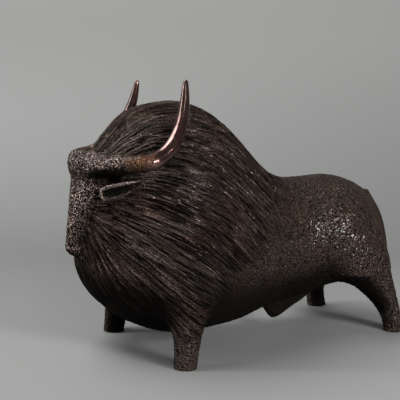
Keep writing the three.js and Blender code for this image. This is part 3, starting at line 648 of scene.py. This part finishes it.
class Wire:
    """An output socket of a shader node. Arithmetic on it adds Math nodes."""

    def __init__(self, tree, socket):
        self.tree = tree
        self.socket = socket

    def maths(self, operation, *values):
        """Adds one Math node on wires and numbers."""
        return self.tree.node("ShaderNodeMath", {"operation": operation}, dict(enumerate(values)))

    def __add__(self, other):
        return self.maths("ADD", self, other)

    def __sub__(self, other):
        return self.maths("SUBTRACT", self, other)

    def __rsub__(self, other):
        return self.maths("SUBTRACT", other, self)

    def __mul__(self, other):
        return self.maths("MULTIPLY", self, other)

    def __truediv__(self, other):
        return self.maths("DIVIDE", self, other)

    def __abs__(self):
        return self.maths("ABSOLUTE", self)

    def floor(self):
        return self.maths("FLOOR", self)

    def log2(self):
        return self.maths("LOGARITHM", self, 2.0)

    def power_of_two(self):
        return self.maths("POWER", 2.0, self)

    __radd__ = __add__
    __rmul__ = __mul__


class Finish:
    """A material whose nodes are added one by one."""

    def __init__(self, name):
        self.material = bpy.data.materials.new(name)
        self.material.use_nodes = True
        self.tree = self.material.node_tree
        self.tree.nodes.clear()

    def node(self, kind, settings=None, values=None, output=0):
        """Adds a node, with its settings and its sockets' values or links, and gives one of its outputs."""
        made = self.tree.nodes.new(kind)
        for key, value in (settings or {}).items():
            setattr(made, key, value)
        for key, value in (values or {}).items():
            if isinstance(value, Wire):
                self.tree.links.new(value.socket, made.inputs[key])
            else:
                made.inputs[key].default_value = value
        return Wire(self, made.outputs[output])

    def place(self):
        return self.node("ShaderNodeTexCoord", output="Object")

    def attribute(self, name):
        return self.node("ShaderNodeAttribute", {"attribute_name": name}, output="Fac")

    def noise(self, size, detail=2):
        """Noise with lumps of about the given size in metres."""
        values = {"Vector": self.place(), "Scale": 1 / size, "Detail": detail, "Roughness": 0.5}
        return self.node("ShaderNodeTexNoise", {"noise_dimensions": "3D"}, values)

    def cells(self, size):
        """Distance from the middle of the nearest of many scattered beads, in shares of their size."""
        values = {"Vector": self.place(), "Scale": 1 / size}
        return self.node("ShaderNodeTexVoronoi", {"feature": "F1"}, values, "Distance")

    def vector(self, operation, values, output="Vector"):
        return self.node("ShaderNodeVectorMath", {"operation": operation}, values, output)

    def comb(self, spacing, length):
        """Noise drawn out in the planes through the comb's axis. Two layers a power of two apart are blended
        by the distance from the axis, so that the strokes are equally fine everywhere."""
        start = tuple(from_form(np.array(COMB_START)))
        away = self.vector("SUBTRACT", {0: self.place(), 1: start})
        along = self.vector("DOT_PRODUCT", {0: away, 1: COMB_AXIS}, "Value")
        beside = self.vector("SUBTRACT", {0: away, 1: self.vector("PROJECT", {0: away, 1: COMB_AXIS})})
        reach = self.vector("LENGTH", {0: beside}, "Value")
        ray = self.vector("NORMALIZE", {0: beside})
        octave = (reach / spacing).log2()
        whole = octave.floor()
        layers = []
        for finer in (0, 1):
            scale = (whole + finer).power_of_two()
            values = {"Vector": ray, "W": (along / length + (whole + finer) * 7.3) / scale}
            values |= {"Scale": scale, "Detail": 1.0, "Roughness": 0.5}
            layers.append(self.node("ShaderNodeTexNoise", {"noise_dimensions": "4D"}, values))
        share = self.between(octave - whole, 0.15, 0.85)
        return layers[0] + share * (layers[1] - layers[0])

    def between(self, value, low, high, out_low=0, out_high=1):
        """A smooth step from one value at low to another at high."""
        values = {"Value": value, "From Min": low, "From Max": high, "To Min": out_low, "To Max": out_high}
        return self.node("ShaderNodeMapRange", {"interpolation_type": "SMOOTHSTEP"}, values, "Result")

    def blend(self, share, a, b):
        """Two colours mixed. The Mix node's colours are its sockets 6 and 7, and its output 2."""
        return self.node("ShaderNodeMix", {"data_type": "RGBA"}, {0: share, 6: a, 7: b}, 2)

    def bump(self, height, depth, strength=1.0, below=None):
        values = {"Height": height, "Distance": depth, "Strength": strength}
        if below:
            values["Normal"] = below
        return self.node("ShaderNodeBump", None, values, output="Normal")

    def surface(self, colour, roughness, metallic, normal=None, **others):
        """Ends the material with its shader."""
        values = {"Base Color": colour, "Roughness": roughness, "Metallic": metallic, **others}
        if normal:
            values["Normal"] = normal
        shader = self.node("ShaderNodeBsdfPrincipled", None, values, output="BSDF")
        out = self.tree.nodes.new("ShaderNodeOutputMaterial")
        self.tree.links.new(shader.socket, out.inputs["Surface"])
        return self.material


def bronze_finish(settings, name):
    """Chased bronze: brown patina, black oxide in the hollows, rubbed metal on the high places and rosy
    metal on the face.
    The rubbed and rosy colour is partly wear, and partly painted glints and a painted highlight on the brow.
    A painted shade turns the colour black where shade falls. Where it is polished, the patina gives way to
    golden and then to clean red bronze."""
    f = Finish(name)
    relief, coat = f.attribute("relief"), f.attribute("coat")
    face, band = f.attribute("face"), f.attribute("band")
    golden, polish, shelter = f.attribute("golden"), f.attribute("polish"), f.attribute("shelter")

    # Height of the marks: the comb's grooves and scratches in the coat, beads elsewhere, grit all over
    strokes = f.comb(settings.hair_spacing, settings.hair_length)
    hairs = f.comb(settings.hair_spacing / 2, settings.hair_length * 0.6)
    grooves = f.between(abs(strokes - 0.5), 0.0, 0.065) - 0.9
    scratches = f.between(abs(hairs - 0.5), 0.0, 0.07) - 0.75
    beads = 0.49 - f.cells(settings.bead_size)
    grit = f.noise(settings.grit_size, 1) - 0.5
    combing = grooves * 0.75 + scratches * 0.35 + beads * 0.35
    chased = (1 - band * 0.8) * (1 - polish * 0.9)
    height = (combing * coat + beads * (1 - coat) + grit * 1.3 + relief * 0.12) * chased
    hollow = f.between(height, -0.06, -0.32)
    # Wear on the high places, and painted glints on the tops of the beads and grit; the face is raised
    # further, a painted highlight on the brow
    rubbed_and_glint = f.between(height + face * 0.12, 0.17, 0.5)

    # Colour, from the patina through the rubbed metal with its painted glints, golden and polished metal to
    # the black of the hollows and of the painted shade
    mottle = f.between(f.noise(0.05, 3), 0.42, 0.62)
    colour = f.blend(mottle, (*settings.patina, 1), (*settings.warm, 1))
    worn = f.blend(face, (*settings.rubbed_and_glint, 1), (*settings.rosy, 1))
    colour = f.blend(rubbed_and_glint, colour, worn)
    colour = f.blend(golden * 0.9, colour, (*settings.golden, 1))
    stain = f.between(f.noise(0.012, 3), 0.36, 0.64)
    clean = f.blend(stain, (*settings.polished, 1), (*settings.polished_dark, 1))
    colour = f.blend(polish, colour, clean)
    # Painted shade: the shade attribute turns the colour as black as the oxide in the hollows
    dark = 1 - (1 - hollow) * (1 - shelter * 0.95)
    colour = f.blend(dark, colour, (*settings.hollow, 1))

    # Gloss: clear wax over the metal, and hardly any on the black oxide and on the painted shade
    rough = (0.32 + dark * 0.5 - rubbed_and_glint * 0.1) * (1 - polish) + (0.12 + stain * 0.06) * polish
    metallic = 0.92 - dark * 0.88
    bumps = f.bump(height, 0.0014, 1.0, f.bump(stain * polish, 0.0002, 0.4))
    wax = {"Coat Weight": polish * 0.8 + (1 - dark) * (0.2 - coat * 0.15), "Coat Roughness": 0.06}
    edge = {"Specular IOR Level": 0.06, "Specular Tint": (0.55, 0.5, 0.48, 1)}
    return f.surface(colour, rough, metallic, bumps, **wax, **edge)


def bare_finish(settings):
    """Bronze as cast or drawn, for the sleeves and pins."""
    f = Finish("bare_bronze")
    stain = f.between(f.noise(0.006), 0.35, 0.7)
    colour = f.blend(stain, (*settings.bare, 1), (*settings.bare_dark, 1))
    rough = f.between(f.noise(0.001), 0.3, 0.7, 0.35, 0.55)
    return f.surface(colour, rough, 0.95, f.bump(f.noise(0.0006), 0.0002))


# Settings


def length_setting(name, description, default):
    return FloatProperty(name=name, description=description, default=default, unit="LENGTH")


def colour_setting(name, description, default):
    return FloatVectorProperty(name=name, description=description, default=default, subtype="COLOR")


class ChasingSettings(bpy.types.PropertyGroup):
    voxel: length_setting("Voxel", "Spacing of the skin's corners", 0.00125)
    stroke_depth: length_setting("Stroke depth", "Depth of the combed strokes", 0.0006)
    stroke_spacing: length_setting("Stroke spacing", "Distance from stroke to stroke", 0.0042)
    stroke_length: length_setting("Stroke length", "Length of a combed stroke", 0.04)
    stipple_depth: length_setting("Stipple depth", "Depth of the stipple", 0.0005)
    stipple_size: length_setting("Stipple size", "Width of one stippled lump", 0.0021)
    pin_depth: length_setting("Pin depth", "How far the pins are filed down into the skin", 0.0042)


class FinishSettings(bpy.types.PropertyGroup):
    hair_spacing: length_setting("Hair spacing", "Distance between the grooves of the comb", 0.0025)
    hair_length: length_setting("Hair length", "Length of a groove of the comb", 0.06)
    bead_size: length_setting("Beads", "Width of the punched beads", 0.0022)
    grit_size: length_setting("Grit", "Width of the cast grit", 0.0013)
    patina: colour_setting("Patina", "Dark brown of the patina", (0.05, 0.037, 0.031))
    warm: colour_setting("Warm patina", "Redder patches of the patina", (0.065, 0.04, 0.031))
    # The rubbed colour also paints glints on the tops of the beads and grit
    rubbed_and_glint: colour_setting("Rubbed", "Metal where the patina is rubbed", (0.27, 0.21, 0.18))
    # The rosy colour also paints the highlight on the brow and on the rolls of the ears
    rosy: colour_setting("Rosy", "Metal where the face is rubbed", (0.6, 0.46, 0.42))
    # The black of the hollows also paints the painted shade
    hollow: colour_setting("Hollows", "Black oxide in the hollows", (0.003, 0.0025, 0.002))
    polished: colour_setting("Polished", "Polished bronze of the horns", (0.13, 0.065, 0.054))
    polished_dark: colour_setting("Polished, dark", "Darker stain on the horns", (0.07, 0.03, 0.025))
    golden: colour_setting("Golden", "Golden bronze at the roots of the horns", (0.11, 0.052, 0.026))
    bare: colour_setting("Bare bronze", "Metal of the sleeves and pins", (0.36, 0.22, 0.11))
    bare_dark: colour_setting("Bare bronze, dark", "Darker stain on the sleeves and pins", (0.2, 0.13, 0.07))


class StudioSettings(bpy.types.PropertyGroup):
    lens: FloatProperty(
        name="Lens",
        description="Focal length of the camera",
        default=0.086094,
        unit="CAMERA",
    )
    eye: FloatVectorProperty(
        name="Eye",
        description="Place of the camera",
        default=(-0.6969, -1.0979, 0.3457),
        subtype="XYZ",
        unit="LENGTH",
    )
    azimuth: FloatProperty(
        name="Azimuth",
        description="Turn of the view from +Y",
        default=math.radians(-29.87),
        unit="ROTATION",
    )
    pitch: FloatProperty(
        name="Pitch",
        description="Downward tilt of the view",
        default=0.1215,
        unit="ROTATION",
    )
    floor: colour_setting("Floor", "Colour of the floor", (0.24, 0.245, 0.24))
    wall: colour_setting("Wall", "Colour of the wall behind", (0.29, 0.29, 0.285))
    # Painted shade: the wall is painted darker towards its foot
    wall_foot: colour_setting("Foot of the wall", "Colour of the wall near the floor", (0.21, 0.215, 0.21))


# Operators


class BULL_OT_finishes(bpy.types.Operator):
    """Makes the three finishes of the bronze"""

    bl_idname = "bull.finishes"
    bl_label = "Finishes"

    def execute(self, context):
        bronze_finish(context.scene.bull_finish, "patina_bronze")
        bronze_finish(context.scene.bull_finish, "polished_bronze")
        bare_finish(context.scene.bull_finish)
        return {"FINISHED"}


class BULL_OT_skin(bpy.types.Operator):
    """Lays one continuous chased skin over the castings and cuts it into its castings"""

    bl_idname = "bull.skin"
    bl_label = "Chased skin"

    def execute(self, context):
        chasing = context.scene.bull_chasing
        castings = [n for n in nodes if n.endswith("_casting")]
        shanks = [n for n in nodes if n.endswith("_leg")]

        # One coarse skin over the joined castings is drawn onto the form, and then a fine one
        skin = copy_of("skin", *(nodes[n] for n in castings + shanks + ["core_plug"]))
        apply(skin, "REMESH", mode="VOXEL", voxel_size=COARSE_VOXEL)
        p, _ = drawn_onto(body, to_form(corners(skin)), 3, 4)
        set_corners(skin, from_form(p))
        apply(skin, "REMESH", mode="VOXEL", voxel_size=chasing.voxel)
        p, normal = drawn_onto(body, to_form(corners(skin)), 3, 2)

        # Where the coat, the face and the smooth band beside the tail lie, and the marks cut into them
        x, y, z = p.T
        q = np.stack([x, np.abs(y), z], 1)
        away = np.minimum(nose(x, np.abs(y), z), limb(q, BROW_LINE))
        coat = smooth(-36, 30, z - COAT_BORDER(x)) * smooth(0.5, 4, away) * smooth(30, 44, z)
        face = 1 - smooth(0.5, 6, away)
        band = smooth(-1, 3, x - BAND_BORDER(z)) * smooth(90, 105, z)
        stroke = combed(p, normal, MM * chasing.stroke_spacing / 2, MM * chasing.stroke_length, 21)
        stipple = stippled(p, MM * chasing.stipple_size)
        standing = smooth(0, 3, z)
        strokes = np.tanh(1.3 * stroke) + 0.25 * stipple
        relief = standing * (1 - 0.85 * band) * (coat * strokes + (1 - coat) * 0.6 * stipple)
        depth = coat * chasing.stroke_depth + (1 - coat) * chasing.stipple_depth
        p = p + (MM * depth * (relief - 0.5) * standing)[:, None] * normal
        p[:, 2] = np.maximum(p[:, 2], 0)
        set_corners(skin, from_form(p))
        on_brow = 1 - smooth(1, 4, limb(q, BROW_LINE))
        golden, polish = (share * on_brow for share in polishing(p))
        remember(skin, relief=relief, coat=coat, face=face, band=band, golden=golden, polish=polish)
        # Painted shade where shade falls on the skin, and some on the smooth band beside the tail
        remember(skin, shelter=np.maximum(sheltered(p, normal), 0.4 * band))

        # The skin is cut where the castings meet
        sawn(skin, NECK_PLANE, 0)
        sawn(skin, WAIST_PLANE, 0)
        for name in shanks:
            side = -1 if name.startswith("left") else 1
            foot, track = (0, FORE_TRACK) if "fore" in name else (WHEELBASE, HIND_TRACK)

            def around(x, y, z, top=ANKLE_HEIGHT + 10):
                return (z < top) & (np.abs(x - foot) < 50) & (side * y > track / 2 - 33)

            sawn(skin, ANKLE_HEIGHT / MM, 2, around)
            shank = parted(skin, f"{name}_chased", lambda x, y, z: around(x, y, z, ANKLE_HEIGHT))
            finished(shank, "patina", name)
        neck, waist = MM * (NECK_PLANE - FORE_FEET), MM * (WAIST_PLANE - FORE_FEET)
        head = parted(skin, "head_chased", lambda x, y, z: x < neck)
        hind = parted(skin, "hind_chased", lambda x, y, z: x > waist)
        skin.name = skin.data.name = "fore_chased"
        for piece, *replaced in (
            (head, "head_casting"),
            (closed(skin), "fore_casting", "core_plug"),
            (hind, "hind_casting"),
        ):
            finished(thinned(piece, MOST_TRIANGLES), "patina", *replaced)
        return {"FINISHED"}


class BULL_OT_horns(bpy.types.Operator):
    """Rounds and polishes the horns"""

    bl_idname = "bull.horns"
    bl_label = "Horns"

    def execute(self, context):
        for side, sign in SIDES:
            points, radii = horn_line()
            points = points * (1, sign, 1)
            profile = bpy.data.curves.new(f"{side}_horn_line", "CURVE")
            profile.dimensions = "3D"
            profile.bevel_depth = 1
            profile.bevel_resolution = 14
            profile.use_fill_caps = True
            spline = profile.splines.new("POLY")
            spline.points.add(len(points) - 1)
            weighted = np.column_stack([from_form(points), np.ones(len(points))])
            spline.points.foreach_set("co", weighted.ravel())
            spline.points.foreach_set("radius", radii / MM)
            horn = bpy.data.objects.new(f"{side}_horn_polished", profile)
            context.scene.collection.objects.link(horn)
            pick(horn)
            bpy.ops.object.convert(target="MESH")
            horn = bpy.context.object
            p = to_form(corners(horn))
            golden, polish = polishing(p)
            relief = 0.6 * stippled(p, FINE_STIPPLE)
            none = np.zeros(len(p))
            remember(horn, relief=relief, coat=none, face=none, band=none, golden=golden, polish=polish)
            # Painted shade on the undersides of the golden roots of the horns
            remember(horn, shelter=0.8 * golden * smooth(0.1, -0.8, facing(horn)[:, 2]))
            finished(horn, "polished", f"{side}_horn")
        return {"FINISHED"}


class BULL_OT_ears(bpy.types.Operator):
    """Cups the ears between a thick rolled rim and a bellied lobe"""

    bl_idname = "bull.ears"
    bl_label = "Ears"

    def execute(self, context):
        root, up = ear_frame()
        for side, sign in SIDES:
            deselect()
            bpy.ops.mesh.primitive_uv_sphere_add(segments=120, ring_count=120)
            ear = context.object
            ear.name = ear.data.name = f"{side}_ear_cupped"

            # On the ball t runs from root to tip, across from the lower edge to the rim, and out from the
            # hollow of the cup to its back
            ball = corners(ear)
            t = np.arccos(np.clip(-ball[:, 2], -1, 1)) / math.pi
            around = np.arctan2(ball[:, 1], ball[:, 0])
            width = np.sqrt(1 - np.abs(2 * t - 1) ** 12)
            across, out = np.cos(around) * width, np.sin(around) * width
            upper, lower, curl = EAR_UPPER(t), EAR_LOWER(t), EAR_CURL(t)
            radius = (upper + lower) / 2 / np.sin(np.minimum(curl, math.pi / 2))
            rim = np.maximum(smooth(0.42, 0.7, across), smooth(0.16, 0.06, t))
            thick = 1 + (EAR_RIM / EAR_THICKNESS - 1) * rim
            r = radius + out * thick * EAR_THICKNESS * (1 - 0.45 * t) / 2
            angle = curl * across
            along = (r * np.sin(angle) + (upper - lower) / 2)[:, None] * up
            p = root + (t * EAR_LENGTH)[:, None] * EAR_DIRECTION + along
            p = (p + (radius - r * np.cos(angle))[:, None] * EAR_OPENING) * (1, sign, 1)
            set_corners(ear, from_form(p))
            pick(ear)
            bpy.ops.object.mode_set(mode="EDIT")
            bpy.ops.mesh.select_all(action="SELECT")
            bpy.ops.mesh.normals_make_consistent(inside=False)
            bpy.ops.object.mode_set(mode="OBJECT")

            none = np.zeros(len(p))
            # Painted shade in the cup under the roll and, weaker, over the whole ear but the roll; the roll
            # takes the rosy rubbed colour, wear with a painted highlight
            inside = smooth(0.35, -0.1, out) * smooth(-0.75, -0.3, across) * smooth(0.66, 0.5, across)
            cup = inside * smooth(0.04, 0.12, t) * smooth(0.95, 0.7, t)
            relief = 0.5 * stippled(p, FINE_STIPPLE) * (1 - rim) + 3.5 * rim
            remember(ear, relief=relief, coat=none, face=rim, golden=none, polish=0.25 * rim)
            remember(ear, band=none, shelter=np.maximum(cup, 0.55 * (1 - rim)))
            finished(ear, "patina", f"{side}_ear")
        return {"FINISHED"}


class BULL_OT_trim(bpy.types.Operator):
    """Finishes the tail and the sheath"""

    bl_idname = "bull.trim"
    bl_label = "Tail and sheath"

    def execute(self, context):
        for name in ("tail", "sheath"):
            piece = copy_of(f"{name}_chased", nodes[name])
            apply(piece, "REMESH", mode="VOXEL", voxel_size=TRIM_VOXEL)
            apply(piece, "SMOOTH", factor=0.5, iterations=12)
            p = to_form(corners(piece))
            none = np.zeros(len(p))
            relief = 0.6 * stippled(p, FINE_STIPPLE)
            # Painted shade: some on the tail, nearly black on the sheath under the belly
            smoothed, dark = (1, 0.4) if name == "tail" else (0, 0.95)
            remember(piece, relief=relief, coat=none, face=none, golden=none, polish=none)
            remember(piece, band=none + smoothed, shelter=none + dark)
            finished(piece, "patina", name)
        return {"FINISHED"}


class BULL_OT_fittings(bpy.types.Operator):
    """Gives the sleeves their bare bronze, and files the pins down under the chased skin"""

    bl_idname = "bull.fittings"
    bl_label = "Sleeves and pins"

    def execute(self, context):
        filed_off = context.scene.bull_chasing.pin_depth
        for name, node in nodes.items():
            if "sleeve" in name:
                node.data.materials.clear()
                node.data.materials.append(bpy.data.materials["bare_bronze"])
            if "_pin" in name:
                pin = copy_of(f"{name}_filed", node)
                co = corners(pin)
                low, high = co.min(0), co.max(0)
                axis = np.argmax(high - low)
                co[:, axis] = np.clip(co[:, axis], low[axis] + filed_off, high[axis] - filed_off)
                set_corners(pin, co)
                finished(pin, "bare", name)
        return {"FINISHED"}


class BULL_OT_stage(bpy.types.Operator):
    """Sets up the studio: a grey sweep, soft lights and the camera"""

    bl_idname = "bull.stage"
    bl_label = "Studio"

    def execute(self, context):
        studio = context.scene.bull_studio
        yaw = -studio.azimuth
        ahead = Vector((math.sin(yaw), math.cos(yaw), 0))
        aside = Vector((math.cos(yaw), -math.sin(yaw), 0))
        eye = Vector(studio.eye)
        ground = Vector((eye.x, eye.y, 0))

        camera = bpy.data.objects.new("camera", bpy.data.cameras.new("camera"))
        context.scene.collection.objects.link(camera)
        camera.data.lens = studio.lens * MM
        camera.data.sensor_width = 36
        camera.location = eye
        camera.rotation_euler = (math.pi / 2 - studio.pitch, 0, -yaw)
        context.scene.camera = camera

        # The sweep: a floor that bends up into the wall, as distances ahead of the camera and heights
        start, foot, bend, top = -3.0, 1.9, 0.5, 3.5
        steps = 12
        profile = [(start, 0), (foot, 0)]
        for k in range(1, steps + 1):
            angle = math.radians(90 * k / steps)
            profile.append((foot + bend * math.sin(angle), bend * (1 - math.cos(angle))))
        profile.append((foot + bend, top))
        points = []
        for run, height in profile:
            for side in (-4, 4):
                points.append(ground + ahead * run + aside * side + Vector((0, 0, height - 0.0002)))
        faces = [(2 * i, 2 * i + 1, 2 * i + 3, 2 * i + 2) for i in range(len(profile) - 1)]
        mesh = bpy.data.meshes.new("sweep")
        mesh.from_pydata(points, [], faces)
        sweep = bpy.data.objects.new("sweep", mesh)
        context.scene.collection.objects.link(sweep)
        f = Finish("sweep")
        behind = f.vector("DOT_PRODUCT", {0: f.place(), 1: ahead}, "Value")
        share = f.between(behind, ground @ ahead + 1.3, ground @ ahead + 2.3)
        height = f.vector("DOT_PRODUCT", {0: f.place(), 1: (0, 0, 1)}, "Value")
        # Painted shade: the wall is painted darker towards its foot
        wall = f.blend(f.between(height, -0.05, 0.55), (*studio.wall_foot, 1), (*studio.wall, 1))
        mesh.materials.append(f.surface(f.blend(share, (*studio.floor, 1), wall), 0.6, 0.0))
        pick(sweep)
        bpy.ops.object.shade_smooth()

        # The lamps all face the middle of the sculpture
        middle = Vector((0, 0, 0.15))

        def lamp(name, power, width, height, place):
            light = bpy.data.lights.new(name, "AREA")
            light.energy = power
            light.shape = "RECTANGLE"
            light.size = width
            light.size_y = height
            o = bpy.data.objects.new(name, light)
            context.scene.collection.objects.link(o)
            o.location = place
            o.rotation_euler = (place - middle).to_track_quat("Z", "Y").to_euler()

        lamp("overhead", 33, 1.3, 1.0, middle - aside * 0.9 + ahead * 0.05 + Vector((0, 0, 1.7)))
        lamp("right", 30, 0.45, 0.28, middle + Vector((0.25, -1.6, 0.48)))
        lamp("left", 10, 0.16, 1.0, middle - aside * 1.5 - ahead * 0.2 + Vector((0, 0, 0.8)))
        lamp("front", 4, 0.1, 1.2, middle - ahead * 1.5 + aside * 0.25 + Vector((0, 0, 0.85)))

        world = bpy.data.worlds.new("studio")
        context.scene.world = world
        world.use_nodes = True
        background = world.node_tree.nodes["Background"]
        background.inputs["Color"].default_value = (0.5, 0.5, 0.5, 1)
        background.inputs["Strength"].default_value = 0.2
        context.scene.view_settings.view_transform = "Standard"
        return {"FINISHED"}


class BULL_PT_panel(bpy.types.Panel):
    bl_label = "Cast bronze bull"
    bl_idname = "BULL_PT_panel"
    bl_space_type = "VIEW_3D"
    bl_region_type = "UI"
    bl_category = "Bull"

    def draw(self, context):
        layout = self.layout
        for operator in OPERATORS:
            layout.operator(operator.bl_idname)
        for group in (context.scene.bull_chasing, context.scene.bull_finish, context.scene.bull_studio):
            box = layout.box()
            for name in group.__annotations__:
                box.prop(group, name)


SETTINGS = {"bull_chasing": ChasingSettings, "bull_finish": FinishSettings, "bull_studio": StudioSettings}
OPERATORS = (
    BULL_OT_finishes,
    BULL_OT_skin,
    BULL_OT_horns,
    BULL_OT_ears,
    BULL_OT_trim,
    BULL_OT_fittings,
    BULL_OT_stage,
)


def register():
    for cls in (*SETTINGS.values(), *OPERATORS, BULL_PT_panel):
        bpy.utils.register_class(cls)
    for name, group in SETTINGS.items():
        setattr(bpy.types.Scene, name, PointerProperty(type=group))


def unregister():
    for name in SETTINGS:
        delattr(bpy.types.Scene, name)
    for cls in (BULL_PT_panel, *reversed(OPERATORS), *SETTINGS.values()):
        bpy.utils.unregister_class(cls)


def main():
    register()
    bpy.ops.bull.finishes()
    bpy.ops.bull.skin()
    bpy.ops.bull.horns()
    bpy.ops.bull.ears()
    bpy.ops.bull.trim()
    bpy.ops.bull.fittings()
    bpy.ops.bull.stage()


if __name__ == "__main__":
    main()
